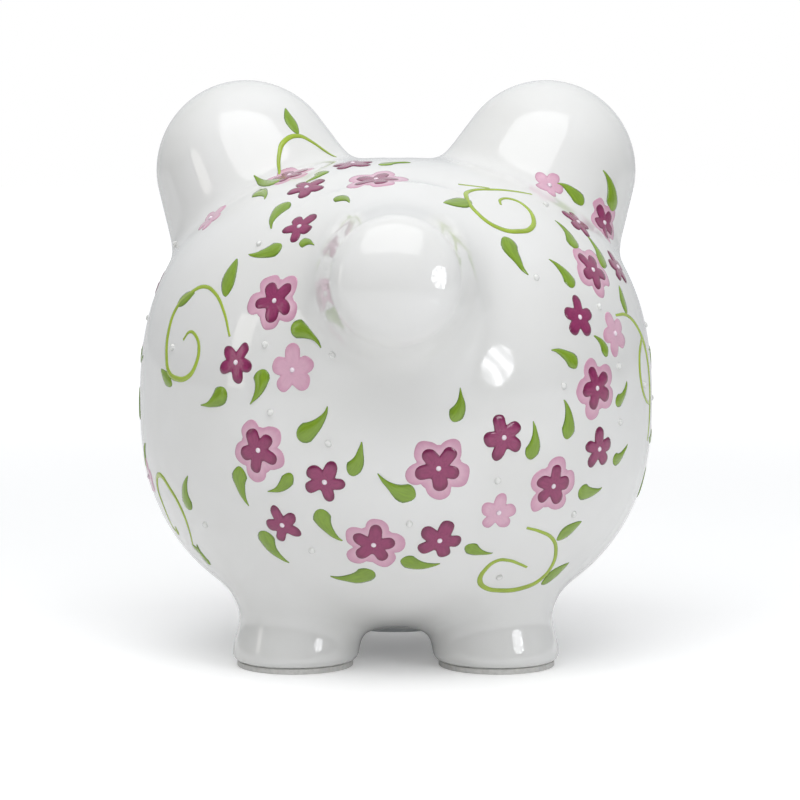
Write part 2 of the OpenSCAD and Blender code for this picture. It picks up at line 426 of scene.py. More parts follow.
# ---------------------------------------------------------------- materials
def glaze_material():
    """Glossy white glaze: faint cloudy tone, and the slight ripple of a dipped glaze."""
    material, tree, shader = new_material("white_glaze")
    tone = ramp(
        tree,
        noise(tree, 22, 3, (-400, 200)),
        [(0.35, colour(222, 222, 220)), (0.7, colour(227, 227, 226))],
        (-150, 200),
    )
    tree.links.new(tone, shader.inputs["Base Color"])
    bump(tree, noise(tree, 55, 1, (-400, -300)), shader, 0.06, 0.002)
    shader.inputs["Roughness"].default_value = 0.07
    shader.inputs["IOR"].default_value = 1.52
    shader.inputs["Coat Weight"].default_value = 0.5
    shader.inputs["Coat Roughness"].default_value = 0.02
    return material


def paint_material(name, middle, rim, streak):
    """Glossy ceramic colour, laid on with a brush: darker where it pools at the rim."""
    material, tree, shader = new_material(name)
    edge = add(tree, "ShaderNodeAttribute", (-600, 200), attribute_name="rim")
    shade = ramp(tree, edge.outputs["Fac"], [(0.0, middle), (0.7, middle), (0.97, rim)], (-300, 200))
    brush = add(tree, "ShaderNodeAttribute", (-1000, -100), attribute_name="stroke")
    at = add(tree, "ShaderNodeTexCoord", (-1000, -300))
    place = add(tree, "ShaderNodeVectorMath", (-800, -200), operation="MULTIPLY_ADD")
    place.inputs[1].default_value = (40, 40, 40)
    tree.links.new(at.outputs["Object"], place.inputs[0])
    tree.links.new(brush.outputs["Vector"], place.inputs[2])
    wave = add(tree, "ShaderNodeTexNoise", (-600, -150))
    wave.inputs["Scale"].default_value = 3.2
    wave.inputs["Detail"].default_value = 3
    tree.links.new(place.outputs[0], wave.inputs["Vector"])
    dull = (streak, streak, streak, 1)
    strokes = ramp(tree, wave.outputs["Fac"], [(0.36, dull), (0.62, (1, 1, 1, 1))], (-300, -100))
    bump(tree, wave.outputs["Fac"], shader, 0.25, 0.0003)
    mix = add(tree, "ShaderNodeMix", (0, 100), data_type="RGBA", blend_type="MULTIPLY")
    mix.inputs["Factor"].default_value = 1
    tree.links.new(shade, mix.inputs[6])
    tree.links.new(strokes, mix.inputs[7])
    tree.links.new(mix.outputs[2], shader.inputs["Base Color"])
    shader.inputs["Roughness"].default_value = 0.14
    shader.inputs["IOR"].default_value = 1.5
    shader.inputs["Coat Weight"].default_value = 0.4
    shader.inputs["Coat Roughness"].default_value = 0.04
    return material


def vinyl_material():
    """The plug's milky soft vinyl."""
    material, tree, shader = new_material("milky_vinyl")
    tone = ramp(
        tree,
        noise(tree, 60, 2, (-400, 200)),
        [(0.3, colour(206, 210, 212)), (0.7, colour(218, 221, 222))],
        (-150, 200),
    )
    tree.links.new(tone, shader.inputs["Base Color"])
    bump(tree, noise(tree, 900, 2, (-400, -300)), shader, 0.15, 0.0002)
    shader.inputs["Roughness"].default_value = 0.38
    shader.inputs["Transmission Weight"].default_value = 0.15
    shader.inputs["IOR"].default_value = 1.45
    return material


def foam_material():
    """Pale closed-cell foam for the foot pads."""
    material, tree, shader = new_material("pad_foam")
    tone = ramp(
        tree,
        noise(tree, 700, 4, (-400, 200)),
        [(0.3, colour(200, 199, 196)), (0.7, colour(216, 215, 212))],
        (-150, 200),
    )
    tree.links.new(tone, shader.inputs["Base Color"])
    bump(tree, noise(tree, 2200, 2, (-400, -300)), shader, 0.3, 0.0001)
    shader.inputs["Roughness"].default_value = 0.8
    return material


# ---------------------------------------------------------------- places on the pig
EAR_MIDDLES = {"left": (-EAR_X, EAR_BACK, EAR_Z), "right": (EAR_X, EAR_BACK, EAR_Z)}


class Spot:
    """A place on the glaze, seen from inside the body or an ear: its bearing is 0 at the front
    and grows to the right of someone who faces the pig, and its elevation is above level."""

    def __init__(self, bearing, elevation, home="body"):
        b, e = math.radians(bearing), math.radians(elevation)
        way = np.array((math.sin(b) * math.cos(e), -math.cos(b) * math.cos(e), math.sin(e)))
        start = np.array(EAR_MIDDLES.get(home, (0, 0, 0))) + (0, 0, MIDDLE_Z)
        reach = 60 if home != "body" else 150
        p = start + way * reach
        for _ in range(80):
            gap = outside_field(p[None])[0]
            p = p - way * max(gap * 0.8, 0.02)
            if gap < 0.02:
                break
        self.point = p
        self.out = self.outward(p)
        up = np.array((0, 0, 1.0))
        if abs(self.out[2]) > 0.98:
            up = np.array((0, 1.0, 0))
        up -= self.out * (up @ self.out)
        self.up = up / np.linalg.norm(up)
        self.right = np.cross(self.up, self.out)

    @staticmethod
    def outward(p):
        n = slope_of(outside_field, np.atleast_2d(p))[0]
        return n / np.linalg.norm(n)

    def offset(self, right, up):
        """A point on the glaze, a few millimetres to the right and up of the spot."""
        p = self.point + self.right * right + self.up * up
        return settle(outside_field, p[None], 4, 3.0)[0]

    def heading(self, turn):
        """The direction along the glaze that is turned clockwise from up."""
        t = math.radians(turn)
        return self.up * math.cos(t) + self.right * math.sin(t)


# ---------------------------------------------------------------- painted motifs, flat, 1 unit across
def ring_motif(name, outline, rings, lifts, material):
    """A flat motif about its middle: rings of points that grow out to the outline, raised by
    lifts, and closed underneath. The attributes say how far a point stands off the glaze,
    and how near the rim it is."""
    sides = len(outline)
    points, lift, rim = [(0, 0, 0)], [lifts[0]], [0.0]
    for share, height in zip(rings, lifts[1:]):
        points += [(x * share, y * share, 0) for x, y in outline]
        lift += [height] * sides
        rim += [share] * sides
    points += [(x, y, 0) for x, y in outline]
    lift += [-1.0] * sides
    rim += [1.0] * sides
    points.append((0, 0, 0))
    lift.append(-1.0)
    rim.append(1.0)
    loops = len(rings) + 1
    faces = [(0, 1 + i, 1 + (i + 1) % sides) for i in range(sides)]
    for ring in range(loops - 1):
        a = 1 + ring * sides
        for i in range(sides):
            j = (i + 1) % sides
            faces.append((a + i, a + sides + i, a + sides + j, a + j))
    last = 1 + (loops - 1) * sides
    faces += [(last + (i + 1) % sides, last + i, len(points) - 1) for i in range(sides)]
    stroke = []
    for x, y, _ in points:
        r = math.hypot(x, y) + 0.05
        stroke.append((2 * x / r, 2 * y / r, r))
    return motif_object(name, points, faces, lift, rim, stroke, material)


def motif_object(name, points, faces, lift, rim, stroke, material):
    mesh = bpy.data.meshes.new(name)
    mesh.from_pydata(points, [], faces)
    for label, values in (("lift", lift), ("rim", rim)):
        mesh.attributes.new(label, "FLOAT", "POINT").data.foreach_set("value", values)
    layer = mesh.attributes.new("stroke", "FLOAT_VECTOR", "POINT")
    layer.data.foreach_set("vector", np.array(stroke, dtype=float).ravel())
    mesh.materials.append(material)
    return bpy.data.objects.new(name, mesh)


def petal_outline(petals, sides, core):
    """Blunt petals about a core: each is a bar with a round end, and the outline is the furthest
    that any of them reaches. A petal is its share of the turn, its length and its half width."""
    outline = []
    for i in range(sides):
        a = 2 * math.pi * i / sides
        reach = core
        for k, (lean, length, half) in enumerate(petals):
            turn = a - 2 * math.pi * (k + lean) / len(petals)
            c, s = math.cos(turn), abs(math.sin(turn))
            if c <= 0:
                continue
            end = length - half
            side = half / max(s, 1e-6)
            if side * c > end:
                side = end * c + math.sqrt(max(half**2 - (end * s) ** 2, 0))
            reach = max(reach, side)
        outline.append((-reach * math.sin(a) / 2, reach * math.cos(a) / 2))
    return outline


def strip_motif(name, spine, widths, material):
    """A leaf or brush stroke along a flat spine, rounded across, and closed underneath."""
    across = (-1, -0.72, 0, 0.72, 1)
    heights = (0, 0.75, 1, 0.75, 0)
    spine = np.array(spine)
    along = np.gradient(spine, axis=0)
    along /= np.linalg.norm(along, axis=1)[:, None]
    side = np.column_stack((along[:, 1], -along[:, 0]))
    points, lift, rim, stroke = [], [], [], []
    stations = len(spine)
    for i in range(stations):
        end = min(1, 4 * min(i, stations - 1 - i) / (stations - 1) + 0.15)
        for a, h in zip(across, heights):
            x, y = spine[i] + side[i] * widths[i] * a
            points.append((x, y, 0))
            lift.append(h * end)
            rim.append(max(abs(a), 1 - min(i, stations - 1 - i) / 2))
            stroke.append((1.5 * a, 1.5 * i / stations, 0))
    top = len(points)
    for i in range(stations):
        for a in (-1, 1):
            x, y = spine[i] + side[i] * widths[i] * a
            points.append((x, y, 0))
            lift.append(-1.0)
            rim.append(1.0)
            stroke.append((1.5 * a, 1.5 * i / stations, 0))
    n = len(across)
    faces = []
    for i in range(stations - 1):
        for j in range(n - 1):
            faces.append((i * n + j, i * n + j + 1, i * n + n + j + 1, i * n + n + j))
        a, b = top + 2 * i, top + 2 * i + 2
        faces.append((a, b, b + 1, a + 1))
        faces.append((i * n, i * n + n, b, a))
        faces.append((i * n + n - 1, a + 1, b + 1, i * n + 2 * n - 1))
    end = (stations - 1) * n
    faces.append((0, top, top + 1, n - 1, *range(n - 2, 0, -1)))
    faces.append((end, *range(end + 1, end + n), top + 2 * stations - 1, top + 2 * stations - 2))
    return motif_object(name, points, faces, lift, rim, stroke, material)


def leaf_spine(t, bend):
    """A spine 1 long, from the round end to the tip, that curls by bend at the tip."""
    return np.column_stack((bend * (t - 0.45) ** 2 - bend * 0.1, t - 0.5))


def comma_leaf(name, bend, material):
    """A comma-shaped leaf: a full round end and a long thin tip."""
    t = (1 - np.cos(np.pi * np.linspace(0, 1, 17))) / 2
    round_end = np.sqrt(np.clip(1 - (1 - np.minimum(t / 0.28, 1)) ** 2, 0, 1))
    taper = np.clip(1 - np.maximum(t - 0.22, 0) / 0.82, 0, 1) ** 1.15
    return strip_motif(name, leaf_spine(t, bend), 0.235 * round_end * taper + 0.008, material)


def pointed_leaf(name, bend, material):
    """A leaf on a vine: narrow where it leaves the stem, widest early, with a sharp tip."""
    t = (1 - np.cos(np.pi * np.linspace(0, 1, 15))) / 2
    return strip_motif(name, leaf_spine(t, bend), 0.21 * np.sin(np.pi * t**0.8) ** 0.85 + 0.01, material)


# ---------------------------------------------------------------- geometry nodes: painting on the glaze
def group_with(name, inputs):
    tree = bpy.data.node_groups.new(name, "GeometryNodeTree")
    tree.interface.new_socket("Geometry", in_out="OUTPUT", socket_type="NodeSocketGeometry")
    tree.interface.new_socket("Geometry", in_out="INPUT", socket_type="NodeSocketGeometry")
    for label, kind, value in inputs:
        item = tree.interface.new_socket(label, in_out="INPUT", socket_type=kind)
        if value is not None:
            item.default_value = value
    return tree, add(tree, "NodeGroupInput", (-1400, 0)), add(tree, "NodeGroupOutput", (1400, 0))


def named(tree, label, kind, place=(0, 0)):
    node = add(tree, "GeometryNodeInputNamedAttribute", place, data_type=kind)
    node.inputs["Name"].default_value = label
    return socket(node, "Attribute", out=True)


def vector_math(tree, operation, a, b, place=(0, 0)):
    node = add(tree, "ShaderNodeVectorMath", place, operation=operation)
    tree.links.new(a, node.inputs[0])
    if operation == "SCALE":
        tree.links.new(b, node.inputs["Scale"])
    else:
        tree.links.new(b, node.inputs[1])
    return node.outputs["Value"] if operation == "DOT_PRODUCT" else node.outputs[0]


def value_math(tree, operation, a, b, place=(0, 0)):
    node = add(tree, "ShaderNodeMath", place, operation=operation)
    for slot, value in enumerate((a, b)):
        if isinstance(value, (int, float)):
            node.inputs[slot].default_value = value
        else:
            tree.links.new(value, node.inputs[slot])
    return node.outputs[0]


def glaze_under(tree, glaze, position):
    """The nearest point of the glaze to a position, and the glaze's normal there."""
    near = add(tree, "GeometryNodeProximity", (200, 300), target_element="FACES")
    tree.links.new(glaze, socket(near, "Geometry"))
    tree.links.new(position, socket(near, "Sample Position"))
    sample = add(tree, "GeometryNodeSampleNearestSurface", (200, 0), data_type="FLOAT_VECTOR")
    normal = add(tree, "GeometryNodeInputNormal", (0, -100))
    tree.links.new(glaze, sample.inputs["Mesh"])
    tree.links.new(normal.outputs[0], socket(sample, "Value"))
    tree.links.new(position, socket(sample, "Sample Position"))
    return socket(near, "Position", out=True), socket(sample, "Value", out=True)


def finish_tree(tree, geometry, material, out):
    smooth = add(tree, "GeometryNodeSetShadeSmooth", (900, 0))
    tree.links.new(geometry, smooth.inputs["Geometry"])
    real = add(tree, "GeometryNodeRealizeInstances", (1050, 0))
    tree.links.new(smooth.outputs[0], real.inputs[0])
    paint = add(tree, "GeometryNodeSetMaterial", (1200, 0))
    tree.links.new(real.outputs[0], paint.inputs["Geometry"])
    tree.links.new(material, paint.inputs["Material"])
    tree.links.new(paint.outputs[0], out.inputs[0])


def motif_tree():
    """Sets a motif on each point, turned to its heading, with a hand's wobble in its outline,
    and lays it on the glaze so that it stands off it by its lift and roots itself below."""
    tree, given, out = group_with(
        "painted_motif",
        [
            ("Motif", "NodeSocketObject", None),
            ("Glaze", "NodeSocketObject", None),
            ("Relief", "NodeSocketFloat", 0.0003),
            ("Root", "NodeSocketFloat", 0.0005),
            ("Wobble", "NodeSocketFloat", 0.0006),
            ("Wobble Scale", "NodeSocketFloat", 160.0),
            ("Seed", "NodeSocketFloat", 1.0),
            ("Paint", "NodeSocketMaterial", None),
        ],
    )
    motif = add(tree, "GeometryNodeObjectInfo", (-1100, 200))
    tree.links.new(given.outputs["Motif"], motif.inputs["Object"])
    turn = add(tree, "FunctionNodeAxesToRotation", (-1100, -100), primary_axis="Z", secondary_axis="Y")
    tree.links.new(named(tree, "outward", "FLOAT_VECTOR", (-1300, -100)), turn.inputs[0])
    tree.links.new(named(tree, "heading", "FLOAT_VECTOR", (-1300, -250)), turn.inputs[1])
    place = add(tree, "GeometryNodeInstanceOnPoints", (-850, 0))
    tree.links.new(given.outputs["Geometry"], place.inputs["Points"])
    tree.links.new(motif.outputs["Geometry"], place.inputs["Instance"])
    tree.links.new(turn.outputs[0], place.inputs["Rotation"])
    tree.links.new(named(tree, "size", "FLOAT_VECTOR", (-1100, -400)), place.inputs["Scale"])
    real = add(tree, "GeometryNodeRealizeInstances", (-650, 0))
    tree.links.new(place.outputs[0], real.inputs[0])

    here = add(tree, "GeometryNodeInputPosition", (-850, -300)).outputs[0]
    wave = add(tree, "ShaderNodeTexNoise", (-600, -350), noise_dimensions="4D")
    tree.links.new(here, wave.inputs["Vector"])
    tree.links.new(given.outputs["Seed"], wave.inputs["W"])
    tree.links.new(given.outputs["Wobble Scale"], wave.inputs["Scale"])
    wave.inputs["Detail"].default_value = 0.0
    half = add(tree, "ShaderNodeVectorMath", (-400, -350), operation="SUBTRACT")
    half.inputs[1].default_value = (0.5, 0.5, 0.5)
    tree.links.new(wave.outputs["Color"], half.inputs[0])
    amount = value_math(
        tree, "MULTIPLY", given.outputs["Wobble"], named(tree, "rim", "FLOAT", (-600, -550)), (-400, -550)
    )
    shift = vector_math(tree, "SCALE", half.outputs[0], amount, (-200, -350))
    wobbled = vector_math(tree, "ADD", here, shift, (-50, -250))

    glaze = add(tree, "GeometryNodeObjectInfo", (-200, 400))
    tree.links.new(given.outputs["Glaze"], glaze.inputs["Object"])
    base, normal = glaze_under(tree, glaze.outputs["Geometry"], wobbled)
    lift = named(tree, "lift", "FLOAT", (0, -550))
    raised = value_math(tree, "MAXIMUM", lift, 0.0, (150, -450))
    rooted = value_math(tree, "MINIMUM", lift, 0.0, (150, -600))
    above = value_math(tree, "MULTIPLY", raised, given.outputs["Relief"], (300, -450))
    below = value_math(tree, "MULTIPLY", rooted, given.outputs["Root"], (300, -600))
    height = value_math(tree, "ADD", above, below, (450, -500))
    stand = vector_math(tree, "ADD", base, vector_math(tree, "SCALE", normal, height, (450, -100)), (600, 0))
    laid = add(tree, "GeometryNodeSetPosition", (750, 0))
    tree.links.new(real.outputs[0], laid.inputs["Geometry"])
    tree.links.new(stand, laid.inputs["Position"])
    finish_tree(tree, laid.outputs[0], given.outputs["Paint"], out)
    return tree


def vine_tree():
    """Sweeps a round brush stroke along each curve, and presses it flat on the glaze."""
    tree, given, out = group_with(
        "painted_vine",
        [
            ("Glaze", "NodeSocketObject", None),
            ("Width", "NodeSocketFloat", 0.0015),
            ("Relief", "NodeSocketFloat", 0.00025),
            ("Step", "NodeSocketFloat", 0.0008),
            ("Sides", "NodeSocketInt", 10),
            ("Paint", "NodeSocketMaterial", None),
        ],
    )
    spaced = add(tree, "GeometryNodeResampleCurve", (-1000, 0), mode="LENGTH")
    tree.links.new(given.outputs["Geometry"], spaced.inputs["Curve"])
    tree.links.new(given.outputs["Step"], spaced.inputs["Length"])
    brush = add(tree, "GeometryNodeCurvePrimitiveCircle", (-1000, -250))
    tree.links.new(given.outputs["Sides"], brush.inputs["Resolution"])
    half = value_math(tree, "MULTIPLY", given.outputs["Width"], 0.5, (-1200, -350))
    tree.links.new(half, socket(brush, "Radius"))
    sweep = add(tree, "GeometryNodeCurveToMesh", (-700, 0))
    tree.links.new(spaced.outputs[0], sweep.inputs["Curve"])
    tree.links.new(brush.outputs[0], sweep.inputs["Profile Curve"])
    sweep.inputs["Fill Caps"].default_value = True
    if "Scale" in sweep.inputs:
        radius = add(tree, "GeometryNodeInputRadius", (-900, -450))
        tree.links.new(radius.outputs[0], sweep.inputs["Scale"])

    here = add(tree, "GeometryNodeInputPosition", (-500, -300)).outputs[0]
    glaze = add(tree, "GeometryNodeObjectInfo", (-200, 400))
    tree.links.new(given.outputs["Glaze"], glaze.inputs["Object"])
    base, normal = glaze_under(tree, glaze.outputs["Geometry"], here)
    off = vector_math(tree, "SUBTRACT", here, base, (400, -200))
    gap = vector_math(tree, "DOT_PRODUCT", off, normal, (500, -300))
    squash = value_math(tree, "DIVIDE", given.outputs["Relief"], half, (300, -500))
    height = value_math(tree, "MULTIPLY", gap, squash, (600, -400))
    stand = vector_math(tree, "ADD", base, vector_math(tree, "SCALE", normal, height, (650, -200)), (700, 0))
    laid = add(tree, "GeometryNodeSetPosition", (800, 0))
    tree.links.new(sweep.outputs[0], laid.inputs["Geometry"])
    tree.links.new(stand, laid.inputs["Position"])
    finish_tree(tree, laid.outputs[0], given.outputs["Paint"], out)
    return tree


def run_tree(obj, tree, **settings):
    """Gives an object a tree with these inputs, and returns the result as a plain mesh object."""
    name = obj.name
    obj.name = name + "_spots"
    modifier = obj.modifiers.new(tree.name, "NODES")
    modifier.node_group = tree
    for item in tree.interface.items_tree:
        if item.in_out == "INPUT" and item.name in settings:
            modifier[item.identifier] = settings[item.name]
    bpy.context.view_layer.update()
    depsgraph = bpy.context.evaluated_depsgraph_get()
    mesh = bpy.data.meshes.new_from_object(obj.evaluated_get(depsgraph), depsgraph=depsgraph)
    mesh.name = name
    result = bpy.data.objects.new(name, mesh)
    bpy.context.scene.collection.objects.link(result)
    obj.modifiers.remove(modifier)
    bpy.data.objects.remove(obj)
    return result


def scatter(name, tree, motif, glaze, spots, paint, **settings):
    """Paints one motif at many spots. Each is a Spot, a heading and a size in millimetres."""
    mesh = bpy.data.meshes.new(name)
    mesh.from_pydata([tuple(to_row(s.point)) for s, *_ in spots], [], [])
    fields = {
        "outward": [s.out for s, *_ in spots],
        "heading": [heading for _, heading, _ in spots],
        "size": [(size * MM,) * 3 for *_, size in spots],
    }
    for label, values in fields.items():
        layer = mesh.attributes.new(label, "FLOAT_VECTOR", "POINT")
        layer.data.foreach_set("vector", np.array(values, dtype=float).ravel())
    obj = bpy.data.objects.new(name, mesh)
    bpy.context.scene.collection.objects.link(obj)
    return run_tree(obj, tree, Motif=motif, Glaze=glaze, Paint=paint, **settings)


# ---------------------------------------------------------------- the decoration's design
# The petals of a flower and of the pink one beneath it: lean, length and half width, as
# shares of a petal's turn and of the flower's radius. A hand never paints two alike.
BLOOM_PETALS = [
    (0, 1.0, 0.29), (0.06, 0.93, 0.31), (-0.04, 0.98, 0.27), (0.05, 0.95, 0.3), (-0.03, 0.9, 0.29),
]
HALO_PETALS = [
    (0, 0.96, 0.35), (0.04, 0.92, 0.38), (-0.03, 1.0, 0.33), (0.03, 0.93, 0.36), (-0.04, 0.97, 0.36),
]
# A single pink flower has the petals of a bloom, each this much wider
PALE_EXTRA = 0.04
# The round core that the petals stand on, as a share of each flower
BLOOM_CORE, PALE_CORE, HALO_CORE = 0.5, 0.54, 0.68
PETAL_STEPS, DOT_STEPS = 80, 12
# Sizes: the magenta flower on a pink one as a share of it, what a single one spreads to, and
# a heart's and a bead's diameter in millimetres
DARK_SHARE, SINGLE_SPREAD, HEART_D, BEAD_D = 0.74, 1.06, 2.1, 2.5

# Flowers: kind, bearing, elevation, size across, turn of a petal clockwise from up.
# A double flower is a magenta one on a pink one.
FLOWERS = [
    ("double", -28, 25, 23, 43),
    ("magenta", -36, 12, 15, 30),
    ("pink", -22, 11, 18, -4),
    ("double", -30, -6, 23, -26),
    ("magenta", -15, -12, 15, 28),
    ("magenta", -26, -22, 14, -20),
    ("double", -5, -26, 23, 10),
    ("magenta", 10, -25, 16, 21),
    ("double", 9, -9, 24, 35),
    ("magenta", 23, -3, 16, -20),
    ("pink", 23, -19, 15, 4),
    ("double", 36, -14, 22, 8),
    ("magenta", 49, -7, 15, 0),
    ("double", 48, 6, 23, -20),
    ("magenta", 45, 21, 15, 6),
    ("double", 56, 31, 22, -30),
    ("pink", 57, 17, 17, -20),
    ("magenta", 66, 43, 14, -30),
    ("magenta", 72, 31, 14, 10),
    ("double", -8, 59, 24, 0),
    ("magenta", -36, 56, 15, 18),
    ("magenta", -27, 42, 14, 30),
    ("magenta", -33, 72, 16, 0),
    ("double", -60, 62, 20, 10),
    ("pink", -72, 44, 14, 0),
    ("pink", 74, 54, 13, -30),
    ("pink", -78, -16, 15, 0),
]
EAR_FLOWERS = [("double", 33, -27, 20, -15, "right")]

# Leaves: bearing, elevation, length, turn of the tip clockwise from up, bend of the tip
LEAVES = [
    (-38, 46, 15, 178, -1),
    (-35, 36, 14, -111, 1),
    (-19, 18, 14, 114, 1),
    (-42, 4, 14, -121, 1),
    (-30, 7, 13, -165, 1),
    (-17, 0, 15, 49, -1),
    (-8, -7, 12, 25, -1),
    (-35, -14, 14, 178, -1),
    (-25, -13, 12, -130, 1),
    (0, -13, 15, -63, 1),
    (-15, -22, 14, 154, -1),
    (-30, -28, 15, 159, -1),
    (-11, -35, 16, -106, 1),
    (6, -31, 14, 103, -1),
    (20, -28, 11, 115, -1),
    (13, 4, 12, 19, -1),
    (30, -4, 13, 14, -1),
    (39, 13, 13, -54, -1),
    (39, 0, 14, -1, -1),
    (58, 4, 11, 57, -1),
    (44, 31, 13, -24, -1),
    (54, 40, 13, 6, -1),
    (31, 35, 16, 173, -1),
    (48, -16, 13, 95, -1),
    (-54, -17, 14, 13, 1),
    (-67, 58, 17, -89, 1),
    (-40, 62, 12, 170, 1),
    (-56, 53, 13, 103, 1),
    (-22, 37, 9, 88, 1),
    (-16, 49, 10, 103, 1),
    (-1, 73, 12, 60, 1),
    (51, 15, 10, -32, -1),
    (58, -9, 11, 69, -1),
    (64, 35, 14, 21, -1),
    (-60, -33, 10, 0, 1),
    (-78, -11, 13, 33, 1),
]
EAR_LEAVES = [(11, -11, 13, -41, -1, "right"), (41, -11, 16, -11, -1, "right")]

# Clear beads: bearing, elevation
BEADS = [
    (-29, 16), (-13, 14), (-27, 2), (-14, -4), (-20, -28), (22, -12), (3, -21), (44, -21), (28, -36),
    (35, 30), (38, 7), (57, 10), (53, 23), (57, -2), (71, 5), (-38, 38), (57, 49), (-50, -24), (-58, 14),
]

# Vines: home, bearing and elevation of the middle, the strokes through points to the right
# and up of it, and the leaves on them as right, up, length, turn
VINES = [
    ("body", -52, 17,
     [[(22, 1), (17, 9), (9, 16), (1, 18), (-6, 15), (-13, 9), (-15, 1), (-14, -8), (-11, -14), (-5, -16),
       (2, -15), (6, -11), (7, -4), (4, 0), (0, 1), (-3, -2)]],
     [(-8, 13, 11, 60), (14, 23, 15, -9), (-13, -16, 11, -62)]),
    ("body", 36, 47,
     [[(22, 12), (13, 13), (4, 14), (-7, 14), (-12, 10), (-14, -1), (-9, -8), (0, -10), (5, -9), (10, -4),
       (11, 3), (8, 7), (2, 7), (0, 4)],
      [(-8, 20), (3, 15)]],
     [(-19, 6, 14, -95)]),
    ("body", 33, -33,
     [[(-3, 17), (3, 15), (10, 11), (14, 5), (15, -3), (12, -8), (5, -11), (-4, -12), (-10, -11), (-14, -7),
       (-14, -1), (-11, 3), (-6, 3), (-1, 1), (3, -1)]],
     [(18, 13, 12, 62), (19, -7, 13, 60)]),
    ("body", -65, -22,
     [[(-10, -9), (-9, 0), (-9, 7), (-3, 13), (6, 8), (10, 1), (9, -7), (3, -16)],
      [(-10, -9), (-7, -11), (-5, -8)]],
     [(6, -19, 10, 150)]),
    ("body", 71, 10,
     [[(-19, 19), (-9, 18), (1, 12), (6, 6), (10, -4), (11, -20), (9, -30)],
      [(10, -4), (5, 8), (0, 6), (-4, 0), (-3, -8), (3, -14), (9, -16)]],
     [(-8, 24, 11, 10)]),
    ("left", 34, 13,
     [[(-11, -12), (-8, -2), (-5, 3), (2, 6), (7, 4), (15, -3)]],
     [(1, 13, 12, -8)]),
]

# A spray for the places that the front doesn't show, in millimetres to the right and up of
# its middle: flowers (kind, right, up, size, turn), leaves (right, up, length, turn, bend),
# beads (right, up) and one scroll
SPRAY_FLOWERS = [
    ("double", 0, 6, 23, 10),
    ("magenta", 19, -7, 15, 30),
    ("pink", -19, -6, 16, -10),
    ("magenta", -9, -23, 14, 0),
    ("double", 13, -29, 22, -20),
    ("magenta", -22, 20, 15, 25),
]
SPRAY_LEAVES = [
    (18, 12, 14, 40, -1),
    (-13, -12, 12, 200, 1),
    (32, -4, 13, 80, -1),
    (-32, -10, 14, 250, 1),
    (2, -15, 12, 120, -1),
    (-24, -27, 14, 215, -1),
    (31, -26, 13, 95, 1),
    (-12, 27, 13, 30, 1),
    (-35, 22, 14, 280, -1),
    (5, 23, 12, -20, 1),
]
SPRAY_BEADS = [(10, -9), (-24, 6), (26, -16), (-30, 34), (1, -38), (16, 24)]
SPRAY_SCROLL = [
    (20, 22), (29, 29), (40, 29), (47, 21), (46, 11), (39, 6), (31, 9), (29, 17), (34, 21), (38, 18),
]
SPRAY_SCROLL_LEAVES = [(34, 35, 12, 20), (51, 27, 11, 60)]
# How far a leaf keeps others off, as a share of its length, and a vine or bead in millimetres
LEAF_REACH, VINE_REACH = 0.3, 2
LOWEST_SPRAY = 34

# Where the sprays go: home, bearing, elevation, turn, and 1 or -1 to mirror one
SPRAYS = [
    ("body", 103, -6, 12, 1),
    ("body", -103, 12, -14, -1),
    ("body", 146, 14, 150, 1),
    ("body", -142, -18, 20, -1),
    ("body", 139, -30, -60, -1),
    ("body", -150, 33, 100, 1),
    ("body", 178, -36, 70, 1),
    ("body", 180, 48, 0, 1),
]


def spray_point(right, up, turn, side):
    """A point of the spray, after it is mirrored or not, and turned clockwise."""
    t = math.radians(turn)
    right = right * side
    x = right * math.cos(t) + up * math.sin(t)
    y = up * math.cos(t) - right * math.sin(t)
    return x, y


class Moved:
    """A place on the glaze beside a spot, that headings are still taken from."""

    def __init__(self, spot, right, up):
        self.point = spot.offset(right, up)
        self.out = Spot.outward(self.point)
        upward = spot.up - self.out * (spot.up @ self.out)
        self.up = upward / np.linalg.norm(upward)
        self.right = np.cross(self.up, self.out)

    heading = Spot.heading


def has_room(taken, point, reach):
    """Whether a motif that reaches this far keeps clear of the legs and of what is painted."""
    if point[2] < LOWEST_SPRAY:
        return False
    return all(np.linalg.norm(point - p) > reach + r for p, r in taken)


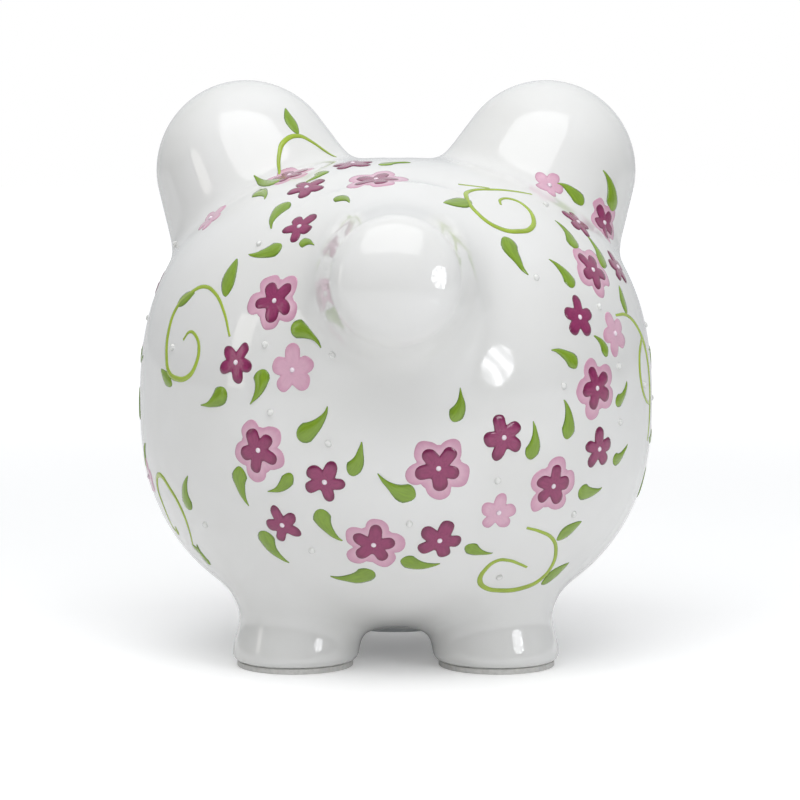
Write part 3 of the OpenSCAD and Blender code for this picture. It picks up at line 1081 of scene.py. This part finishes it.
def gather_design():
    """Every flower, leaf, bead and vine, as spots with headings and sizes. The front is laid as
    listed, and the sprays leave out what would run into anything laid before."""
    flowers, leaves, beads, vines, vine_leaves = [], [], [], [], []
    taken = [(np.array((0, BODY_R, MIDDLE_Z + TAIL_RISE)), TAIL_CURL_R + TAIL_R)]
    for kind, bearing, elevation, size, turn, *home in FLOWERS + EAR_FLOWERS:
        spot = Spot(bearing, elevation, *home)
        flowers.append((kind, spot, spot.heading(turn), size))
        taken.append((spot.point, size / 2))
    for bearing, elevation, length, turn, bend, *home in LEAVES + EAR_LEAVES:
        spot = Spot(bearing, elevation, *home)
        leaves.append((spot, spot.heading(turn), length, bend))
        taken.append((spot.point, length * LEAF_REACH))
    beads += [Spot(*bead) for bead in BEADS]
    taken += [(bead.point, VINE_REACH) for bead in beads]
    for home, bearing, elevation, strokes, tips in VINES:
        middle = Spot(bearing, elevation, home)
        vines += [[middle.offset(*p) for p in stroke] for stroke in strokes]
        for right, up, length, turn in tips:
            spot = Moved(middle, right, up)
            vine_leaves.append((spot, spot.heading(turn), length))
            taken.append((spot.point, length * LEAF_REACH))
    taken += [(p, VINE_REACH) for stroke in vines for p in stroke]

    for home, bearing, elevation, turn, side in SPRAYS:
        middle = Spot(bearing, elevation, home)

        def at(right, up):
            return Moved(middle, *spray_point(right, up, turn, side))

        for kind, right, up, size, lean in SPRAY_FLOWERS:
            spot = at(right, up)
            if has_room(taken, spot.point, size / 2 + 1):
                flowers.append((kind, spot, spot.heading(turn + lean * side), size))
                taken.append((spot.point, size / 2))
        scroll = [middle.offset(*spray_point(*p, turn, side)) for p in SPRAY_SCROLL]
        if all(has_room(taken, p, VINE_REACH) for p in scroll):
            vines.append(scroll)
            for right, up, length, lean in SPRAY_SCROLL_LEAVES:
                spot = at(right, up)
                vine_leaves.append((spot, spot.heading(turn + lean * side), length))
                taken.append((spot.point, length * LEAF_REACH))
            taken += [(p, VINE_REACH) for p in scroll]
        for right, up, length, lean, bend in SPRAY_LEAVES:
            spot = at(right, up)
            if has_room(taken, spot.point, length * LEAF_REACH):
                leaves.append((spot, spot.heading(turn + lean * side), length, bend * side))
                taken.append((spot.point, length * LEAF_REACH))
        for bead in SPRAY_BEADS:
            spot = at(*bead)
            if has_room(taken, spot.point, VINE_REACH):
                beads.append(spot)
                taken.append((spot.point, VINE_REACH))
    return flowers, leaves, beads, vines, vine_leaves


def vine_curves(strokes):
    """The vines' middles as smooth curves, thin at both ends."""
    curve = bpy.data.curves.new("vine_paths", "CURVE")
    curve.dimensions = "3D"
    for stroke in strokes:
        spline = curve.splines.new("BEZIER")
        spline.resolution_u = 12
        spline.bezier_points.add(len(stroke) - 1)
        last = len(stroke) - 1
        for i, (knot, p) in enumerate(zip(spline.bezier_points, to_row(stroke))):
            knot.co = p
            knot.handle_left_type = knot.handle_right_type = "AUTO"
            knot.radius = 0.55 + 0.9 * math.sin(math.pi * (0.12 + 0.76 * i / last)) ** 2
    obj = bpy.data.objects.new("vines", curve)
    bpy.context.scene.collection.objects.link(obj)
    return obj


def paint_pig(glaze):
    """All the painted and raised decoration, one object for each colour."""
    magenta = paint_material("magenta_paint", colour(146, 51, 99), colour(112, 32, 72), 0.84)
    pink = paint_material("pink_paint", colour(216, 172, 192), colour(202, 150, 174), 0.95)
    white = paint_material("white_slip", colour(238, 226, 234), colour(200, 168, 188), 0.98)
    leaf = paint_material("leaf_paint", colour(128, 160, 44), colour(94, 126, 32), 0.84)
    stem = paint_material("stem_paint", colour(158, 182, 56), colour(124, 150, 40), 0.86)
    clear = paint_material("clear_slip", colour(226, 226, 224), colour(220, 220, 217), 0.99)

    lifts = (1.0, 0.98, 0.9, 0.55, 0.0)
    rings = (0.45, 0.8, 0.95, 1.0)
    bloom_outline = petal_outline(BLOOM_PETALS, PETAL_STEPS, BLOOM_CORE)
    wide_petals = [(lean, length, half + PALE_EXTRA) for lean, length, half in BLOOM_PETALS]
    pale_outline = petal_outline(wide_petals, PETAL_STEPS, PALE_CORE)
    halo_outline = petal_outline(HALO_PETALS, PETAL_STEPS, HALO_CORE)
    turns = np.linspace(0, 2 * math.pi, DOT_STEPS, endpoint=False)
    round_outline = [(math.cos(a) / 2, math.sin(a) / 2) for a in turns]
    bloom = ring_motif("bloom_motif", bloom_outline, rings, lifts, magenta)
    pale = ring_motif("pale_motif", pale_outline, rings, lifts, pink)
    halo = ring_motif("halo_motif", halo_outline, rings, lifts, pink)
    dot = ring_motif("dot_motif", round_outline, (0.5, 0.85, 1.0), (1.0, 0.9, 0.55, 0.0), white)
    left_leaf = comma_leaf("left_leaf_motif", -0.55, leaf)
    right_leaf = comma_leaf("right_leaf_motif", 0.55, leaf)
    stem_leaf = pointed_leaf("stem_leaf_motif", 0.15, stem)

    flowers, leaves, beads, vines, vine_leaves = gather_design()
    tree = motif_tree()
    pieces = {}

    def lay(name, motif, spots, paint, relief, seed, wobble):
        """Reliefs and wobbles are in millimetres."""
        settings = {"Relief": relief * MM, "Seed": seed, "Wobble": wobble * MM}
        pieces[name] = scatter(name, tree, motif, glaze, spots, paint, **settings)

    doubles = [(s, h, size) for kind, s, h, size in flowers if kind == "double"]
    darks = [(s, h, size * DARK_SHARE) for s, h, size in doubles]
    darks += [(s, h, size * SINGLE_SPREAD) for kind, s, h, size in flowers if kind == "magenta"]
    pinks = [(s, h, size) for kind, s, h, size in flowers if kind == "pink"]
    hearts = [(s, h, HEART_D) for _, s, h, _ in flowers]
    lay("pink_halos", halo, doubles, pink, 0.16, 1.0, 2.2)
    lay("pink_flowers", pale, pinks, pink, 0.25, 2.0, 1.8)
    lay("magenta_flowers", bloom, darks, magenta, 0.38, 3.0, 1.8)
    lay("flower_hearts", dot, hearts, white, 0.9, 4.0, 0.4)
    lefts = [(s, h, length) for s, h, length, bend in leaves if bend < 0]
    rights = [(s, h, length) for s, h, length, bend in leaves if bend > 0]
    lay("leaves_left", left_leaf, lefts, leaf, 0.4, 4.0, 1.6)
    lay("leaves_right", right_leaf, rights, leaf, 0.4, 6.0, 1.6)
    lay("vine_leaves", stem_leaf, vine_leaves, leaf, 0.3, 8.0, 1.2)
    lay("clear_beads", dot, [(s, s.up, BEAD_D) for s in beads], clear, 1.0, 9.0, 0.4)
    pieces["vines"] = run_tree(vine_curves(vines), vine_tree(), Glaze=glaze, Paint=stem)
    return pieces


# ---------------------------------------------------------------- plug and pads
def lathe(name, outline, steps, material):
    """Turns an outline of (radius, height) in millimetres about the upright axis."""
    bm = bmesh.new()
    last = None
    for r, z in outline:
        vert = bm.verts.new(Vector((r, 0, z)) * MM)
        if last is not None:
            bm.edges.new((last, vert))
        last = vert
    bmesh.ops.spin(
        bm, geom=bm.verts[:] + bm.edges[:], cent=(0, 0, 0), axis=(0, 0, 1), angle=2 * math.pi, steps=steps
    )
    bmesh.ops.remove_doubles(bm, verts=bm.verts[:], dist=1e-6)
    bmesh.ops.recalc_face_normals(bm, faces=bm.faces[:])
    mesh = bpy.data.meshes.new(name)
    bm.to_mesh(mesh)
    bm.free()
    mesh.materials.append(material)
    mesh.polygons.foreach_set("use_smooth", [True] * len(mesh.polygons))
    obj = bpy.data.objects.new(name, mesh)
    bpy.context.scene.collection.objects.link(obj)
    return obj


def move_mesh(obj, x, y, z=0.0):
    for v in obj.data.vertices:
        v.co += Vector((x, y, z))


def pad_piece(node, material):
    """A foam disc with softly cut edges, in its foot pad's place."""
    low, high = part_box(node)
    r = (high.x - low.x) / 2 / MM
    t = (high.z - low.z) / MM
    edge = 0.35
    outline = [(0, 0), (r * 0.5, 0), (r - 2 * edge, 0)]
    outline += [
        (r - edge + edge * math.sin(a), edge - edge * math.cos(a)) for a in np.linspace(0, math.pi / 2, 5)
    ]
    outline += [
        (r - edge + edge * math.cos(a), t - edge + edge * math.sin(a)) for a in np.linspace(0, math.pi / 2, 5)
    ]
    outline += [(r - 2 * edge, t), (r * 0.5, t), (0, t)]
    piece = lathe(node + "_foam", outline, 96, material)
    middle = (low + high) / 2
    move_mesh(piece, middle.x, middle.y)
    return piece


# ---------------------------------------------------------------- camera, light and floor
def set_camera():
    """Level with the pig and a little above, from about a metre away."""
    target = Vector((1.5 * MM, AXIS.y * MM, MIDDLE_Z * MM))
    distance, elevation = 1.1, math.radians(5.2)
    camera = bpy.data.objects.new("camera", bpy.data.cameras.new("camera"))
    camera.location = target + Vector((0, -math.cos(elevation), math.sin(elevation))) * distance
    camera.rotation_euler = (target - camera.location).to_track_quat("-Z", "Y").to_euler()
    camera.data.sensor_width = 36
    camera.data.lens = 132.9
    camera.data.clip_start = 0.05
    bpy.context.scene.collection.objects.link(camera)
    bpy.context.scene.camera = camera


def area_light(name, place, size, power, tint=(1, 1, 1), shape="RECTANGLE", height=None):
    data = bpy.data.lights.new(name, "AREA")
    data.shape = shape
    data.size = size
    if shape in ("RECTANGLE", "ELLIPSE"):
        data.size_y = height or size
    data.energy = power
    data.color = tint
    obj = bpy.data.objects.new(name, data)
    obj.location = place
    target = Vector((0, AXIS.y * MM, MIDDLE_Z * MM))
    obj.rotation_euler = (target - Vector(place)).to_track_quat("-Z", "Y").to_euler()
    bpy.context.scene.collection.objects.link(obj)
    return obj


def studio_world():
    """A white backdrop, and a room that is bright above and behind the pig, and dim in front."""
    world = bpy.data.worlds.new("studio")
    world.use_nodes = True
    tree = world.node_tree
    tree.nodes.clear()
    way = add(tree, "ShaderNodeTexCoord", (-900, 0)).outputs["Generated"]
    parts = add(tree, "ShaderNodeSeparateXYZ", (-700, 0))
    tree.links.new(way, parts.inputs[0])
    above = value_math(tree, "MAXIMUM", parts.outputs["Z"], 0.0, (-500, 100))
    behind = value_math(tree, "MAXIMUM", parts.outputs["Y"], 0.0, (-500, -100))
    above = value_math(tree, "MULTIPLY", above, 0.6, (-350, 100))
    behind = value_math(tree, "MULTIPLY", behind, 0.6, (-350, -100))
    room = value_math(tree, "ADD", value_math(tree, "ADD", above, behind, (-200, 0)), 0.02, (-50, 0))
    lit = add(tree, "ShaderNodeBackground", (150, 100))
    lit.inputs["Color"].default_value = (0.96, 0.98, 1.0, 1)
    tree.links.new(room, lit.inputs["Strength"])
    seen = add(tree, "ShaderNodeBackground", (150, -100))
    seen.inputs["Color"].default_value = (1, 1, 1, 1)
    ray = add(tree, "ShaderNodeLightPath", (150, 300))
    pick = add(tree, "ShaderNodeMixShader", (350, 0))
    tree.links.new(ray.outputs["Is Camera Ray"], pick.inputs[0])
    tree.links.new(lit.outputs[0], pick.inputs[1])
    tree.links.new(seen.outputs[0], pick.inputs[2])
    out = add(tree, "ShaderNodeOutputWorld", (550, 0))
    tree.links.new(pick.outputs[0], out.inputs[0])
    bpy.context.scene.world = world


def shade_umbrella(light):
    """An umbrella is bright along its gores and dim along its ribs."""
    light.use_nodes = True
    tree = light.node_tree
    emission = next(node for node in tree.nodes if node.type == "EMISSION")
    place = add(tree, "ShaderNodeNewGeometry", (-900, 0)).outputs["Parametric"]
    parts = add(tree, "ShaderNodeSeparateXYZ", (-700, 0))
    tree.links.new(place, parts.inputs[0])
    x = value_math(tree, "SUBTRACT", parts.outputs["X"], 0.5, (-550, 100))
    y = value_math(tree, "SUBTRACT", parts.outputs["Y"], 0.5, (-550, -100))
    turn = value_math(tree, "ARCTAN2", y, x, (-400, 0))
    gore = value_math(tree, "SINE", value_math(tree, "MULTIPLY", turn, 8.0, (-300, 0)), 0.0, (-200, 0))
    gore = value_math(tree, "MULTIPLY_ADD", gore, 0.5, (-100, 0))
    gore.node.inputs[2].default_value = 0.9
    tree.links.new(gore, emission.inputs["Strength"])


def set_light():
    studio_world()
    area_light("overhead_box", (-0.06, -0.6, 1.14), 1.2, 6.2, height=1.05)
    top = area_light("top_fill", (-0.03, -0.22, 0.66), 0.45, 1.1)
    top.visible_glossy = False
    umbrella = area_light("umbrella", (0.68, -0.74, 0.32), 0.36, 1.8, tint=(0.97, 0.98, 1), shape="DISK")
    shade_umbrella(umbrella.data)
    area_light("side_card", (-1.1, -0.35, 0.35), 0.2, 0.5, tint=(1, 0.97, 0.92), height=0.5)
    bpy.context.scene.view_settings.view_transform = "Standard"


def make_floor():
    """A white floor that glows, as painted light, more the further it is from the pig, so that it meets the
    backdrop.
    """
    size = 9
    mesh = bpy.data.meshes.new("floor")
    corners = [(-size, -size, 0), (size, -size, 0), (size, size, 0), (-size, size, 0)]
    mesh.from_pydata(corners, [], [(0, 1, 2, 3)])
    floor = bpy.data.objects.new("floor", mesh)
    material, tree, shader = new_material("pale_floor")
    shader.inputs["Base Color"].default_value = (0.9, 0.9, 0.9, 1)
    shader.inputs["Roughness"].default_value = 0.8
    shader.inputs["Specular IOR Level"].default_value = 0.1
    shader.inputs["Emission Color"].default_value = (1, 1, 1, 1)
    # Painted light: the floor's own glow is weakest beside the pig and grows with the distance from it
    at = add(tree, "ShaderNodeTexCoord", (-600, 0))
    away = add(tree, "ShaderNodeVectorMath", (-400, 0), operation="LENGTH")
    tree.links.new(at.outputs["Object"], away.inputs[0])
    fade = add(tree, "ShaderNodeMapRange", (-200, 0), interpolation_type="SMOOTHSTEP")
    for name, value in (("From Min", 0.12), ("From Max", 1.6), ("To Min", 0.2), ("To Max", 0.62)):
        fade.inputs[name].default_value = value
    tree.links.new(away.outputs["Value"], fade.inputs["Value"])
    # Painted light: the camera sees the floor's glow at full strength, while the pig is lit by only a quarter
    # of it
    ray = add(tree, "ShaderNodeLightPath", (-400, -300))
    seen = value_math(tree, "MULTIPLY_ADD", ray.outputs["Is Camera Ray"], 0.75, (-200, -300))
    seen.node.inputs[2].default_value = 0.25
    glow = value_math(tree, "MULTIPLY", fade.outputs["Result"], seen, (0, -100))
    tree.links.new(glow, shader.inputs["Emission Strength"])
    mesh.materials.append(material)
    bpy.context.scene.collection.objects.link(floor)


# ---------------------------------------------------------------- putting it together
set_camera()
set_light()
make_floor()

casting = make_casting(glaze_material())
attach(casting, "pig")
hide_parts("shell", "tail")

for piece in paint_pig(casting).values():
    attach(piece, "pig")

foam = foam_material()
for node in PADS:
    piece = pad_piece(node, foam)
    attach(piece, "pig")
    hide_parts(node)

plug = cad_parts["stopper"]
plug.data.materials.clear()
plug.data.materials.append(vinyl_material())
